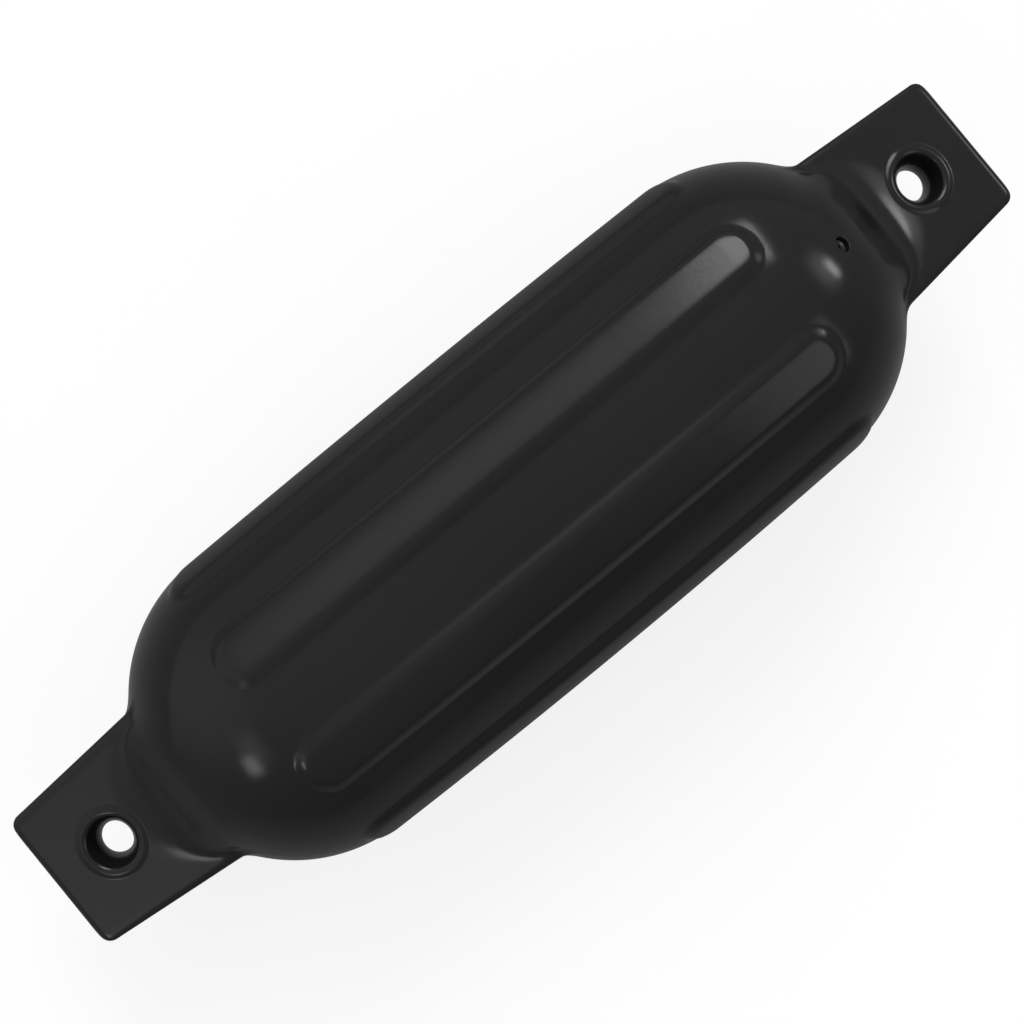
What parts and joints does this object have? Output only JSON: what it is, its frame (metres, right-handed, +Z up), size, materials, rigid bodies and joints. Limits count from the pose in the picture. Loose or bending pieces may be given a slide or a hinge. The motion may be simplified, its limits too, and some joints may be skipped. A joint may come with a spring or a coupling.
{
  "type": "boat fender",
  "caption": "Ribbed black vinyl boat fender: a long round barrel with domed ends, flat wedge tabs and a rope eye through each tab.",
  "frame": {"origin": "on the surface that the fender lies on, under the middle of its length", "axes": "+X along the fender towards the dome that holds the inflation valve, +Z up out of the tabs' level faces, +Y across the tabs"},
  "size_m": [0.5588, 0.1596, 0.1595],
  "materials": {
    "black_vinyl": "satin moulded vinyl",
    "black_rubber": "matt rubber"
  },
  "bodies": {
    "root": {"fender_body": "black_vinyl", "inflation_valve": "black_rubber"}
  },
  "joints": []
}
